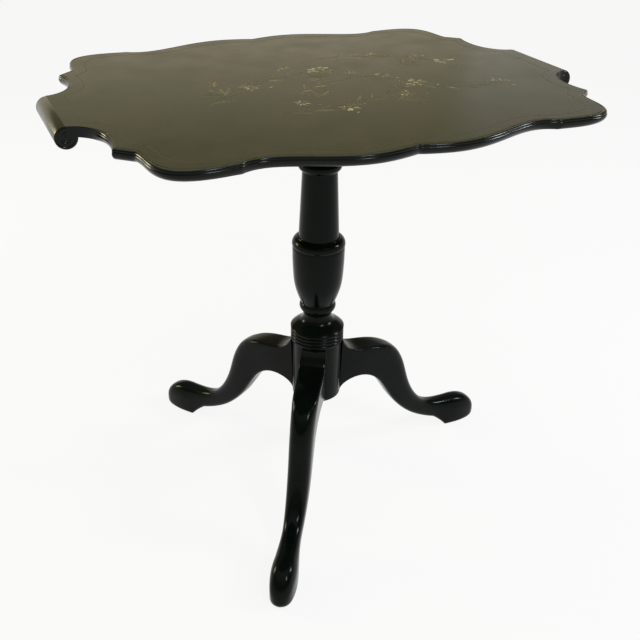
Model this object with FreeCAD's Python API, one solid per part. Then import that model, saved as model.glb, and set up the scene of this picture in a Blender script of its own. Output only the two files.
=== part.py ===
import FreeCAD, Part
import math
import os

Vector = FreeCAD.Vector

# Overall sizes of the table, in millimetres; the floor is at zero and the column stands on the Z axis
table_height = 700.0
top_length = 784.0
top_width = 596.0
top_thickness = 14.0

# Clearances that several pieces share
glue_gap = 0.1
running_clearance = 0.05
rest_gap = 0.2
overrun = 20.0

# Edge of the top: a bevel under the edge, a short upright band and a narrow bevel above
edge_under_height = 8.0
edge_under_inset = 5.0
edge_upper_height = 4.0
edge_upper_inset = 3.0

# One quarter of the edge as shares of half the length and half the width: the lobe beside the notch
# in the long side, then the shoulder with its round corner down to the inner notch, then the nose
lobe_shares = (
    (0.0, 0.963), (0.056, 0.984), (0.148, 1.0), (0.242, 0.983),
    (0.332, 0.943), (0.416, 0.901), (0.487, 0.8825), (0.564, 0.909),
)
shoulder_shares = (
    (0.564, 0.909), (0.638, 0.917), (0.714, 0.911), (0.773, 0.8725),
    (0.8035, 0.792), (0.811, 0.711), (0.8214, 0.634),
)
nose_share = (0.875, 0.571)

# The cove from the nose to the scroll, as shares of the way across and the way along
cove_shares = (
    (0.0, 0.0), (-0.12, 0.23), (-0.12, 0.46), (0.02, 0.69), (0.35, 0.88), (0.69, 0.97), (1.0, 1.0),
)

# Scrolls at the short ends, and the seams between the three boards
roll_radius = 15.0
scroll_length = 140.0
scroll_tongue = 25.0
seam_offset = 100.0

# Tilt block and the pintles that the top turns on
block_length = 170.0
block_thickness = 32.0
pivot_offset = 75.0
block_back_offset = 75.0
block_edge_clearance = 0.5
pintle_radius = 8.0
pintle_seat = 25.0

# Battens under the top
batten_length = 450.0
batten_width = 30.0
batten_thickness = 30.0
batten_flat_length = 300.0
batten_tip_thickness = 16.0
batten_side_gap = 0.5
batten_screw_shares = (-0.84, -0.6, -0.12, 0.24, 0.6, 0.84)
batten_screw_seat = 10.0

# Column: radii of its turned members, and their levels as shares of its height to the block
column_bottom = 164.0
drum_radius = 41.0
reed_root_radius = 42.2
reed_radius = 44.4
reed_count = 4
shoulder_radius = 44.8
dome_top_radius = 31.5
neck_radius = 23.7
neck_lip_radius = 25.8
bead_radius = 30.0
urn_foot_radius = 27.6
urn_radius = 42.0
groove_radius = 41.0
rim_radius = 42.6
shaft_foot_radius = 32.3
shaft_top_radius = 27.4
collar_foot_radius = 28.2
collar_radius = 34.0
cap_neck_radius = 27.0
cap_radius = 38.0
drum_top_share = 0.2143
reed_top_share = 0.2657
dome_top_share = 0.2855
neck_share = 0.3129
neck_top_share = 0.3286
bead_top_share = 0.3592
urn_top_share = 0.5596
rim_bottom_share = 0.5702
rim_top_share = 0.5971
shaft_top_share = 0.822
collar_foot_share = 0.8241
collar_top_share = 0.8555
cap_neck_share = 0.898
cap_top_share = 0.9645
dome_shares = (0.858, 0.541)
urn_shares = ((0.17, 0.809), (0.34, 0.915), (0.56, 0.97), (0.82, 0.998))
rim_shares = (0.734, 0.732)
cove_share = 0.25

# Round tenon at the top of the column, and its wedge
tenon_radius = 19.0
wedge_top_thickness = 4.0
wedge_tip_thickness = 1.5
wedge_length = 24.0

# Legs: their directions in degrees, set by hand a little off an even third of the circle, then the
# reach from the column's axis to the toe, the rise of the knee and its width
leg_names = ("leg_right", "leg_back_left", "leg_front")
leg_angles = (4.0, 122.0, 237.2)
leg_reach = 352.0
leg_rise = 270.0
knee_width = 44.0

# Side view of a leg as shares of its reach and rise: the upper line from the column to the toe, and
# the lower line from the heel notch back to the column
leg_inner_share = 0.06
leg_upper_shares = (
    (0.112, 1.08), (0.124, 1.0), (0.138, 0.94), (0.165, 0.895), (0.25, 0.864), (0.327, 0.849),
    (0.388, 0.824), (0.437, 0.782), (0.476, 0.716), (0.505, 0.627), (0.528, 0.527), (0.556, 0.43),
    (0.6, 0.332), (0.664, 0.252), (0.744, 0.218), (0.824, 0.209), (0.897, 0.198), (0.953, 0.164),
    (0.987, 0.112), (1.0, 0.056),
)
leg_toe_share = 0.984
leg_heel_share = 0.798
leg_heel_shares = ((0.784, 0.02), (0.755, 0.056), (0.72, 0.09))
leg_lower_shares = (
    (0.72, 0.09), (0.613, 0.155), (0.557, 0.204), (0.496, 0.276), (0.432, 0.38), (0.39, 0.47),
    (0.347, 0.556), (0.298, 0.622), (0.25, 0.655), (0.205, 0.666), (0.165, 0.66), (0.138, 0.643),
)

# Plan view of a leg as shares of its reach and of half the knee's width
leg_plan_shares = (
    (0.06, 1.0), (0.284, 1.0), (0.455, 0.92), (0.597, 0.77), (0.682, 0.71), (0.767, 0.79),
    (0.862, 0.94), (0.938, 0.85), (0.983, 0.5),
)

# Dovetailed tenon of a leg
dovetail_depth = 15.0
dovetail_neck = 13.0
dovetail_width = 19.0
dovetail_height = 86.0
dovetail_root = 4.0

# Three-armed plate under the column
plate_thickness = 2.5
plate_hub_radius = 20.0
plate_arm_width = 15.0
plate_arm_reach = 38.0
plate_screw_offset = 32.5

# Wood screws with countersunk heads
batten_screw_radius = 2.2
batten_screw_head_radius = 4.2
batten_screw_length = 18.0
small_screw_radius = 1.5
small_screw_head_radius = 3.0
small_screw_length = 13.0
plate_screw_radius = 2.0
plate_screw_head_radius = 3.8
plate_screw_length = 20.0
screw_tip_share = 0.25

# Catch under the top, with a bolt that slides into the block
catch_base_thickness = 5.0
catch_base_width = 36.0
catch_base_length = 56.0
catch_standoff = 9.0
catch_screw_inset = 5.0
bolt_width = 10.0
bolt_thickness = 5.0
bolt_length = 58.0
bolt_standoff = 4.0
bolt_throw = 11.0
bolt_clearance = 0.3
staple_wall = 2.0
staple_length = 6.0
staple_front_share = 0.2
staple_back_share = 0.73
knob_share = 0.52
knob_stem_radius = 2.5
knob_spigot_radius = 1.5
knob_spigot_length = 3.0
knob_radius = 6.0
knob_height = 11.0
knob_belly_share = 0.62
knob_gap = 1.0

# Keeper let into the block
keeper_thickness = 2.0
keeper_width = 34.0
keeper_height = 12.0
keeper_hole_clearance = 0.5
keeper_screw_offset = 11.5
mortise_spare = 4.0

# Places worked out from the sizes above
half_length = top_length / 2
half_width = top_width / 2
underside = table_height - top_thickness
block_top = underside - rest_gap
block_bottom = underside - block_thickness
pivot_drop = block_thickness / 2
pivot_level = underside - pivot_drop
column_height = block_bottom - column_bottom
roll_centre = half_length - roll_radius
scroll_joint = roll_centre - scroll_tongue
block_end = block_length / 2
batten_inner = block_end + batten_side_gap
batten_outer = batten_inner + batten_width
catch_front = block_back_offset + catch_standoff
bolt_top = underside - catch_base_thickness - bolt_clearance
bolt_bottom = bolt_top - bolt_thickness
bolt_front = block_back_offset + bolt_standoff
up = Vector(0, 0, 1)


def box(x_low, x_high, y_low, y_high, z_low, z_high):
    return Part.makeBox(x_high - x_low, y_high - y_low, z_high - z_low, Vector(x_low, y_low, z_low))


def spline(points):
    curve = Part.BSplineCurve()
    curve.interpolate(points)
    return curve.toShape()


def line(start, end):
    return Part.LineSegment(start, end).toShape()


def arc(start, middle, end):
    return Part.Arc(start, middle, end).toShape()


def turned(edges):
    face = Part.Face(Part.Wire(edges))
    return face.revolve(Vector(0, 0, 0), up, 360)


def save(name, shape):
    shape.exportStep("parts/" + name + ".step")
    print(name, len(shape.Solids), round(shape.Volume), shape.isValid())


def level(share):
    return column_bottom + share * column_height


# A countersunk screw, driven from the middle of its head's flat towards the given direction
def screw(place, direction, radius, head_radius, length, clearance=0.0):
    outer = radius + clearance
    head = head_radius + clearance
    head_depth = head_radius - radius
    tip = length * (1 - screw_tip_share)
    end = length + clearance
    points = (
        Vector(0, 0, 0), Vector(head, 0, 0), Vector(outer, 0, head_depth),
        Vector(outer, 0, tip), Vector(0, 0, end), Vector(0, 0, 0),
    )
    solid = Part.Face(Part.makePolygon(points)).revolve(Vector(0, 0, 0), up, 360)
    turn = FreeCAD.Rotation(up, direction)
    solid.Placement = FreeCAD.Placement(place, turn)
    return solid


# Screws at all the places, and the matching holes
def screw_set(places, direction, radius, head_radius, length):
    screws = [screw(p, direction, radius, head_radius, length) for p in places]
    holes = [screw(p, direction, radius, head_radius, length, running_clearance) for p in places]
    return Part.makeCompound(screws), Part.makeCompound(holes)


# The clear way by which each screw head goes down into a deep seat
def head_ways(places, direction, head_radius):
    reach = head_radius + running_clearance
    return Part.makeCompound([Part.makeCylinder(reach, overrun, p, direction * -1) for p in places])


# Edge of the top at one level, drawn in by the inset
def top_outline(z, inset):
    across = (half_length - inset) / half_length
    along = (half_width - inset) / half_width

    def place(x, y):
        return Vector(x * across, y * along, z)

    nose_x = nose_share[0] * half_length
    nose_y = nose_share[1] * half_width
    run_x = roll_centre - nose_x
    run_y = scroll_length / 2 - nose_y
    lobe = [place(x * half_length, y * half_width) for x, y in lobe_shares]
    shoulder = [place(x * half_length, y * half_width) for x, y in shoulder_shares]
    cove = [place(nose_x + x * run_x, nose_y + y * run_y) for x, y in cove_shares]
    end = place(roll_centre, 0)
    quarter = [spline(lobe), spline(shoulder), line(shoulder[-1], cove[0]), spline(cove), line(cove[-1], end)]
    edges = []
    for mirror_x in (False, True):
        for mirror_y in (False, True):
            for edge in quarter:
                copy = edge
                if mirror_x:
                    copy = copy.mirror(Vector(0, 0, 0), Vector(1, 0, 0))
                if mirror_y:
                    copy = copy.mirror(Vector(0, 0, 0), Vector(0, 1, 0))
                edges.append(copy)
    return Part.Wire(Part.__sortEdges__(edges))


def make_top():
    levels = (
        (underside, edge_under_inset),
        (underside + edge_under_height, 0),
        (table_height - edge_upper_height, 0),
        (table_height, edge_upper_inset),
    )
    layers = []
    for (low, low_inset), (high, high_inset) in zip(levels, levels[1:]):
        wires = [top_outline(low, low_inset), top_outline(high, high_inset)]
        layers.append(Part.makeLoft(wires, True, True))
    slab = layers[0].multiFuse(layers[1:]).removeSplitter()
    reach = half_length + overrun
    depth = half_width + overrun
    low = underside - overrun
    high = table_height + overrun
    boards = {
        "top_front_board": slab.common(box(-reach, reach, -depth, -seam_offset, low, high)),
        "top_centre_board": slab.common(
            box(-scroll_joint, scroll_joint, -seam_offset, seam_offset, low, high)),
        "top_back_board": slab.common(box(-reach, reach, seam_offset, depth, low, high)),
    }
    for name, sign in (("left_scroll", -1), ("right_scroll", 1)):
        ends = sorted((sign * scroll_joint, sign * roll_centre))
        tongue = slab.common(box(ends[0], ends[1], -seam_offset, seam_offset, low, high))
        roll_start = Vector(sign * roll_centre, -scroll_length / 2, table_height - roll_radius)
        roll = Part.makeCylinder(roll_radius, scroll_length, roll_start, Vector(0, 1, 0))
        boards[name] = tongue.fuse(roll).removeSplitter()
    return boards


def make_block():
    body = box(-block_end, block_end, -pivot_offset, block_back_offset, block_bottom, block_top)
    edge_start = Vector(-block_end, -pivot_offset, pivot_level)
    edge = Part.makeCylinder(pivot_drop - block_edge_clearance, block_length, edge_start, Vector(1, 0, 0))
    hole = Part.makeCylinder(
        tenon_radius + running_clearance, block_thickness + overrun, Vector(0, 0, block_bottom - overrun / 2))
    block = body.fuse(edge).cut(hole)
    for sign in (-1, 1):
        start = Vector(sign * (block_end + overrun), -pivot_offset, pivot_level)
        bore = Part.makeCylinder(
            pintle_radius + running_clearance, pintle_seat + overrun, start, Vector(-sign, 0, 0))
        block = block.cut(bore)
    return block.removeSplitter()


def make_pintle(sign):
    start = Vector(sign * (block_end - pintle_seat), -pivot_offset, pivot_level)
    length = pintle_seat + batten_side_gap + batten_width
    return Part.makeCylinder(pintle_radius, length, start, Vector(sign, 0, 0))


# A batten runs across the boards and thins towards both tips
def make_batten(sign):
    tip = batten_length / 2
    flat = batten_flat_length / 2
    bottom = underside - batten_thickness
    tip_bottom = underside - batten_tip_thickness
    x = min(sign * batten_inner, sign * batten_outer)
    points = (
        Vector(x, -tip, underside), Vector(x, tip, underside), Vector(x, tip, tip_bottom),
        Vector(x, flat, bottom), Vector(x, -flat, bottom), Vector(x, -tip, tip_bottom),
        Vector(x, -tip, underside),
    )
    batten = Part.Face(Part.makePolygon(points)).extrude(Vector(batten_width, 0, 0))
    start = Vector(x - overrun, -pivot_offset, pivot_level)
    bore = Part.makeCylinder(
        pintle_radius + running_clearance, batten_width + 2 * overrun, start, Vector(1, 0, 0))
    return batten.cut(bore)


def batten_screw_places(sign):
    x = sign * (batten_inner + batten_outer) / 2
    z = underside - batten_screw_seat
    return [Vector(x, share * batten_length / 2, z) for share in batten_screw_shares]


def mean(low, high):
    return (low + high) / 2


# Turned outline of the column, from the foot of the drum to the top of the tenon
def column_edges():
    def at(radius, share):
        return Vector(radius, 0, level(share))

    edges = [
        line(Vector(0, 0, column_bottom), at(drum_radius, 0)),
        line(at(drum_radius, 0), at(drum_radius, drum_top_share)),
        line(at(drum_radius, drum_top_share), at(reed_root_radius, drum_top_share)),
    ]
    reed_step = (reed_top_share - drum_top_share) / reed_count
    for index in range(reed_count):
        low = drum_top_share + index * reed_step
        high = low + reed_step
        edges.append(arc(
            at(reed_root_radius, low), at(reed_radius, mean(low, high)), at(reed_root_radius, high)))

    dome_rise = dome_top_share - reed_top_share
    dome_waist = at(dome_shares[0] * shoulder_radius, reed_top_share + dome_shares[1] * dome_rise)
    urn_rise = urn_top_share - bead_top_share
    urn = [at(urn_foot_radius, bead_top_share)]
    for rise, swell in urn_shares:
        urn.append(at(swell * urn_radius, bead_top_share + rise * urn_rise))
    urn.append(at(urn_radius, urn_top_share))
    rim_rise = rim_top_share - rim_bottom_share
    rim_ledge = rim_radius - shaft_foot_radius
    rim_waist = at(shaft_foot_radius + rim_shares[0] * rim_ledge, rim_bottom_share + rim_shares[1] * rim_rise)
    cap_flare = cap_neck_radius + cove_share * (cap_radius - cap_neck_radius)
    tenon_foot = at(tenon_radius, 1)
    tenon_top = Vector(tenon_radius, 0, block_top)
    edges += [
        line(at(reed_root_radius, reed_top_share), at(shoulder_radius, reed_top_share)),
        arc(at(shoulder_radius, reed_top_share), dome_waist, at(dome_top_radius, dome_top_share)),
        arc(at(dome_top_radius, dome_top_share), at(neck_radius, neck_share),
            at(neck_lip_radius, neck_top_share)),
        arc(at(neck_lip_radius, neck_top_share), at(bead_radius, mean(neck_top_share, bead_top_share)),
            at(urn_foot_radius, bead_top_share)),
        spline(urn),
        line(at(urn_radius, urn_top_share), at(groove_radius, mean(urn_top_share, rim_bottom_share))),
        line(at(groove_radius, mean(urn_top_share, rim_bottom_share)), at(rim_radius, rim_bottom_share)),
        arc(at(rim_radius, rim_bottom_share), rim_waist, at(shaft_foot_radius, rim_top_share)),
        line(at(shaft_foot_radius, rim_top_share), at(shaft_top_radius, shaft_top_share)),
        line(at(shaft_top_radius, shaft_top_share), at(collar_foot_radius, collar_foot_share)),
        arc(at(collar_foot_radius, collar_foot_share),
            at(collar_radius, mean(collar_foot_share, collar_top_share)),
            at(collar_foot_radius, collar_top_share)),
        line(at(collar_foot_radius, collar_top_share), at(cap_neck_radius, collar_top_share)),
        line(at(cap_neck_radius, collar_top_share), at(cap_neck_radius, cap_neck_share)),
        arc(at(cap_neck_radius, cap_neck_share), at(cap_flare, mean(cap_neck_share, cap_top_share)),
            at(cap_radius, cap_top_share)),
        line(at(cap_radius, cap_top_share), at(cap_radius, 1)),
        line(at(cap_radius, 1), tenon_foot),
        line(tenon_foot, tenon_top),
        line(tenon_top, Vector(0, 0, block_top)),
        line(Vector(0, 0, block_top), Vector(0, 0, column_bottom)),
    ]
    return edges


# The dovetail of a leg that points along X, or with a clearance the socket for it in the column
def dovetail(clearance=0.0):
    inner = drum_radius - dovetail_depth - clearance
    outer = drum_radius + dovetail_root
    wide = dovetail_width / 2 + clearance
    neck = dovetail_neck / 2 + clearance
    low = column_bottom - (overrun if clearance else 0)
    height = column_bottom + dovetail_height + clearance - low
    points = (
        Vector(inner, -wide, low), Vector(drum_radius, -neck, low), Vector(outer, -neck, low),
        Vector(outer, neck, low), Vector(drum_radius, neck, low), Vector(inner, wide, low),
        Vector(inner, -wide, low),
    )
    return Part.Face(Part.makePolygon(points)).extrude(Vector(0, 0, height))


def around(shape, angle):
    return shape.rotated(Vector(0, 0, 0), up, angle)


# The wedge that spreads the column's tenon in the block
def make_wedge():
    top = wedge_top_thickness / 2
    tip = wedge_tip_thickness / 2
    low = block_top - wedge_length
    points = (
        Vector(-tenon_radius, -top, block_top), Vector(-tenon_radius, top, block_top),
        Vector(-tenon_radius, tip, low), Vector(-tenon_radius, -tip, low),
        Vector(-tenon_radius, -top, block_top),
    )
    blade = Part.Face(Part.makePolygon(points)).extrude(Vector(2 * tenon_radius, 0, 0))
    return blade.common(Part.makeCylinder(tenon_radius, wedge_length, Vector(0, 0, low)))


def make_column(wedge):
    column = turned(column_edges())
    for angle in leg_angles:
        column = column.cut(around(dovetail(glue_gap), angle))
    return column.cut(wedge)


# A leg is sawn twice: the side view and the plan view are both drawn on the blank
def make_leg():
    def side(share_x, share_z):
        return Vector(share_x * leg_reach, -knee_width, share_z * leg_rise)

    upper = [side(x, z) for x, z in leg_upper_shares]
    lower = [side(x, z) for x, z in leg_lower_shares]
    lower.append(Vector(drum_radius, -knee_width, column_bottom))
    heel = [side(leg_heel_share, 0)] + [side(x, z) for x, z in leg_heel_shares]
    toe = side(leg_toe_share, 0)
    inner_low = Vector(leg_inner_share * leg_reach, -knee_width, column_bottom)
    inner_high = Vector(leg_inner_share * leg_reach, -knee_width, upper[0].z)
    outline = [
        line(inner_high, upper[0]), spline(upper), line(upper[-1], toe), line(toe, heel[0]), spline(heel),
        spline(lower), line(lower[-1], inner_low), line(inner_low, inner_high),
    ]
    profile = Part.Face(Part.Wire(outline)).extrude(Vector(0, 2 * knee_width, 0))
    near = [Vector(x * leg_reach, w * knee_width / 2, 0) for x, w in leg_plan_shares]
    far = [Vector(p.x, -p.y, 0) for p in reversed(near)]
    tip = Vector(leg_reach, 0, 0)
    plan_edges = [spline(near + [tip] + far), line(far[-1], near[0])]
    plan = Part.Face(Part.Wire(plan_edges)).extrude(Vector(0, 0, leg_rise))
    drum_top = level(drum_top_share)
    drum = Part.makeCylinder(drum_radius + glue_gap, drum_top, Vector(0, 0, 0))
    shoulder = Part.makeCylinder(
        shoulder_radius + glue_gap, leg_rise + overrun, Vector(0, 0, drum_top - glue_gap))
    leg = profile.common(plan).cut(drum.fuse(shoulder))
    return leg.fuse(dovetail().common(profile)).removeSplitter()


def make_plate():
    low = column_bottom - plate_thickness
    plate = Part.makeCylinder(plate_hub_radius, plate_thickness, Vector(0, 0, low))
    half = plate_arm_width / 2
    for angle in leg_angles:
        plate = plate.fuse(around(box(0, plate_arm_reach, -half, half, low, column_bottom), angle))
    return plate.removeSplitter()


def plate_screw_places():
    low = column_bottom - plate_thickness
    places = [Vector(0, 0, low)]
    for turn in map(math.radians, leg_angles):
        places.append(Vector(plate_screw_offset * math.cos(turn), plate_screw_offset * math.sin(turn), low))
    return places


def catch_screw_places():
    x = catch_base_width / 2 - catch_screw_inset
    front = catch_front + catch_screw_inset
    back = catch_front + catch_base_length - catch_screw_inset
    return [Vector(sign * x, y, underside - catch_base_thickness) for sign in (-1, 1) for y in (front, back)]


def make_catch_base():
    half = catch_base_width / 2
    return box(-half, half, catch_front, catch_front + catch_base_length,
               underside - catch_base_thickness, underside)


# Two staples under the base guide the bolt
def make_staples():
    inner = bolt_width / 2 + bolt_clearance
    outer = inner + staple_wall
    top = underside - catch_base_thickness
    roof = bolt_bottom - bolt_clearance
    staples = []
    for share in (staple_front_share, staple_back_share):
        middle = catch_front + share * catch_base_length
        low = middle - staple_length / 2
        high = middle + staple_length / 2
        bracket = box(-outer, outer, low, high, roof - staple_wall, top)
        staples.append(bracket.cut(box(-inner, inner, low - overrun, high + overrun, roof, top + overrun)))
    return Part.makeCompound(staples)


def make_bolt():
    half = bolt_width / 2
    knob_y = catch_front + knob_share * catch_base_length
    bar = box(-half, half, bolt_front, bolt_front + bolt_length, bolt_bottom, bolt_top)
    hole = Part.makeCylinder(
        knob_spigot_radius + running_clearance, knob_spigot_length + running_clearance,
        Vector(0, knob_y, bolt_bottom))
    return bar.cut(hole)


# The knob hangs under the bolt on a stem that clears the staples
def make_knob():
    staple_bottom = bolt_bottom - bolt_clearance - staple_wall
    neck = staple_bottom - knob_gap - bolt_bottom
    belly = neck - knob_belly_share * knob_height
    low = neck - knob_height
    edges = [
        line(Vector(0, 0, knob_spigot_length), Vector(knob_spigot_radius, 0, knob_spigot_length)),
        line(Vector(knob_spigot_radius, 0, knob_spigot_length), Vector(knob_spigot_radius, 0, 0)),
        line(Vector(knob_spigot_radius, 0, 0), Vector(knob_stem_radius, 0, 0)),
        line(Vector(knob_stem_radius, 0, 0), Vector(knob_stem_radius, 0, neck)),
        spline([Vector(knob_stem_radius, 0, neck), Vector(knob_radius, 0, belly), Vector(0, 0, low)]),
        line(Vector(0, 0, low), Vector(0, 0, knob_spigot_length)),
    ]
    knob = turned(edges)
    knob.translate(Vector(0, catch_front + knob_share * catch_base_length, bolt_bottom))
    return knob


def keeper_box(clearance):
    half = keeper_width / 2 + clearance
    tall = keeper_height / 2 + clearance
    middle = mean(bolt_bottom, bolt_top)
    front = block_back_offset - keeper_thickness
    back = block_back_offset + (overrun if clearance else 0)
    return box(-half, half, front, back, middle - tall, middle + tall)


# The way for the bolt through the keeper and into the block
def bolt_way():
    half = bolt_width / 2 + keeper_hole_clearance
    depth = bolt_throw - bolt_standoff + mortise_spare
    return box(-half, half, block_back_offset - depth, block_back_offset + overrun,
               bolt_bottom - keeper_hole_clearance, bolt_top + keeper_hole_clearance)


def keeper_screw_places():
    middle = mean(bolt_bottom, bolt_top)
    return [Vector(sign * keeper_screw_offset, block_back_offset, middle) for sign in (-1, 1)]


os.makedirs("parts", exist_ok=True)

batten_places = batten_screw_places(-1) + batten_screw_places(1)
batten_screws, batten_holes = screw_set(
    batten_places, up, batten_screw_radius, batten_screw_head_radius, batten_screw_length)
batten_ways = head_ways(batten_places, up, batten_screw_head_radius)
catch_screws, catch_holes = screw_set(
    catch_screw_places(), up, small_screw_radius, small_screw_head_radius, small_screw_length)
plate_screws, plate_holes = screw_set(
    plate_screw_places(), up, plate_screw_radius, plate_screw_head_radius, plate_screw_length)
keeper_screws, keeper_holes = screw_set(
    keeper_screw_places(), Vector(0, -1, 0), small_screw_radius, small_screw_head_radius, small_screw_length)

for board_name, board in make_top().items():
    save(board_name, board.cut(batten_holes).cut(catch_holes))
for batten_name, side_sign in (("left_batten", -1), ("right_batten", 1)):
    save(batten_name, make_batten(side_sign).cut(batten_holes).cut(batten_ways))
save("batten_screws", batten_screws)

save("tilt_block", make_block().cut(keeper_box(glue_gap)).cut(bolt_way()).cut(keeper_holes))
save("left_pintle", make_pintle(-1))
save("right_pintle", make_pintle(1))

tenon_wedge = make_wedge()
save("block_wedge", tenon_wedge)
save("column", make_column(tenon_wedge).cut(plate_holes))
leg_blank = make_leg()
for leg_name, leg_angle in zip(leg_names, leg_angles):
    save(leg_name, around(leg_blank, leg_angle).cut(plate_holes))
save("spider_plate", make_plate().cut(plate_holes))
save("spider_screws", plate_screws)

save("catch_base", make_catch_base().cut(catch_holes))
save("catch_screws", catch_screws)
save("catch_staples", make_staples())
save("catch_bolt", make_bolt())
save("catch_knob", make_knob())
save("catch_keeper", keeper_box(0).cut(bolt_way()).cut(keeper_holes))
save("keeper_screws", keeper_screws)
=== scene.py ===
import bmesh
import bpy
import numpy as np
from mathutils import Matrix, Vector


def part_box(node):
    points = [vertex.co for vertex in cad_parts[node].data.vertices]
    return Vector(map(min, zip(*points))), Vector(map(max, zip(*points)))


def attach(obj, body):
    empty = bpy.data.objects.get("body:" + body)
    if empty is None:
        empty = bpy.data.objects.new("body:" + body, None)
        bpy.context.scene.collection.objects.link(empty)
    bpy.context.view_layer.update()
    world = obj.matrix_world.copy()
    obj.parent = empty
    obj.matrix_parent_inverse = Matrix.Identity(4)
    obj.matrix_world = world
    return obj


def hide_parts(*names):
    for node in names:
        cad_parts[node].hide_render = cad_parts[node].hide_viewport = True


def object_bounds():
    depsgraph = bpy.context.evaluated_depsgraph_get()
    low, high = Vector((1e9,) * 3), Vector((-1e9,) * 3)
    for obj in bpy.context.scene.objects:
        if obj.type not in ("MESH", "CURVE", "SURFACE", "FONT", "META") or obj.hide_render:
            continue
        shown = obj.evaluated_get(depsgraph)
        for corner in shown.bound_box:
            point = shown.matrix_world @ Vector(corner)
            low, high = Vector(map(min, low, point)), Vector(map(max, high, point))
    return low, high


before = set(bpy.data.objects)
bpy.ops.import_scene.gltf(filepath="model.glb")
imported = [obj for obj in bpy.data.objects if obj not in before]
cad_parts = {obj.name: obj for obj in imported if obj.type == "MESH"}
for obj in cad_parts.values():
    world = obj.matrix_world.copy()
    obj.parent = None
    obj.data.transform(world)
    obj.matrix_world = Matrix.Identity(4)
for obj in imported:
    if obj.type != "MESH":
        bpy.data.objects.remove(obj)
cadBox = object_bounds()
mm = 0.001  # the script works in metres, sizes below are written in millimetres
chance = np.random.default_rng(11)


# Small helpers

def linear(hexColour):  # sRGB hex to linear light: straight near black, power 2.4 above
    value = np.array([int(hexColour[i:i + 2], 16) for i in (0, 2, 4)]) / 255
    light = np.where(value <= 0.04045, value / 12.92, ((value + 0.055) / 1.055) ** 2.4)
    return (*light.tolist(), 1.0)


def addNode(tree, kind, settings=None, links=None):  # a setting is a socket, colour stops or a property
    new = tree.nodes.new(kind)
    for key, value in (settings or {}).items():
        if key == "stops":
            ramp = new.color_ramp.elements
            while len(ramp) < len(value):
                ramp.new(0.5)
            for stop, (place, colour) in zip(ramp, value):
                stop.position = place
                stop.color = linear(colour)
        elif isinstance(key, int) or key in new.inputs:
            new.inputs[key].default_value = value
        else:
            setattr(new, key, value)
    for key, source in (links or {}).items():
        tree.links.new(source, new.inputs[key])
    return new


def feed(tree, node, sources):  # joins each source to the node's socket of that name
    for socket, source in sources.items():
        tree.links.new(source, node.inputs[socket])


def startMaterial(name, **sockets):  # gives the material, its tree, its shader and object coordinates
    material = bpy.data.materials.new(name)
    material.use_nodes = True
    tree = material.node_tree
    shader = tree.nodes["Principled BSDF"]
    for socket, value in sockets.items():
        shader.inputs[socket.replace("_", " ")].default_value = value
    place = addNode(tree, "ShaderNodeTexCoord").outputs["Object"]
    return material, tree, shader, place


def smoothStep(low, high, value):  # 0 below low, 1 above high, an S of 3t2 - 2t3 between
    t = np.clip((value - low) / (high - low), 0, 1)
    return t * t * (3 - 2 * t)


def throughPoints(points, count):  # cubic spline by chord length, end slopes from cubics of four points
    p = np.asarray(points, float)
    t = np.r_[0, np.cumsum(np.linalg.norm(np.diff(p, axis=0), axis=1))]
    h = np.diff(t)
    rows = np.zeros((len(p), len(p)))
    right = np.zeros_like(p)
    i = np.arange(1, len(p) - 1)
    rows[i, i - 1], rows[i, i], rows[i, i + 1] = 1 / h[:-1], 2 / h[:-1] + 2 / h[1:], 1 / h[1:]
    rise = np.diff(p, axis=0) / (h * h)[:, None]
    right[i] = 3 * (rise[:-1] + rise[1:])
    for end, part in ((0, slice(0, 4)), (-1, slice(-4, None))):
        cubic = np.polyfit(t[part] - t[end], p[part], 3)
        rows[end, end], right[end] = 1, cubic[2]
    slope = np.linalg.solve(rows, right)
    at = np.linspace(0, t[-1], count)
    k = np.clip(np.searchsorted(t, at, side="right") - 1, 0, len(h) - 1)
    s = ((at - t[k]) / h[k])[:, None]
    w = h[k][:, None]
    return ((1 + 2 * s) * (1 - s) ** 2 * p[k] + s * (1 - s) ** 2 * w * slope[k]
            + s * s * (3 - 2 * s) * p[k + 1] + s * s * (s - 1) * w * slope[k + 1])


def arcPoints(start, middle, end, count=13):  # the circle through three points, stepped by equal angles
    a, b, c = (complex(*p) for p in (start, middle, end))
    w = (c - a) / (b - a)
    centre = (b - a) * (w - abs(w) ** 2) / (2j * w.imag) + a
    turn = np.angle((c - centre) / (a - centre))
    sideOf = np.angle((b - centre) / (a - centre))
    if turn * sideOf < 0 or abs(sideOf) > abs(turn):
        turn -= np.sign(turn) * 2 * np.pi
    arc = centre + (a - centre) * np.exp(1j * np.linspace(0, turn, count))
    return np.stack([arc.real, arc.imag], axis=1)


def skin(rings):  # rings of points joined side by side, each end closed by a fan to its middle
    rows, columns = rings.shape[:2]
    index = np.arange(rows * columns).reshape(rows, columns)
    following = np.roll(index, -1, axis=1)
    sides = np.stack([index[:-1], following[:-1], following[1:], index[1:]], axis=-1).reshape(-1, 4)
    first = np.full(columns, rows * columns)
    fans = np.concatenate([np.stack([following[0], index[0], first], axis=-1),
                           np.stack([index[-1], following[-1], first + 1], axis=-1)])
    points = np.concatenate([rings.reshape(-1, 3), rings[:1].mean(1), rings[-1:].mean(1)])
    return points, sides.tolist() + fans.tolist()


def meshOf(shell):  # a bmesh from one list of points and faces, all faces turned outwards
    points, faces = shell
    mesh = bpy.data.meshes.new("shell")
    mesh.from_pydata(points.tolist(), [], faces)
    work = bmesh.new()
    work.from_mesh(mesh)
    bpy.data.meshes.remove(mesh)
    bmesh.ops.recalc_face_normals(work, faces=work.faces)
    return work


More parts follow.
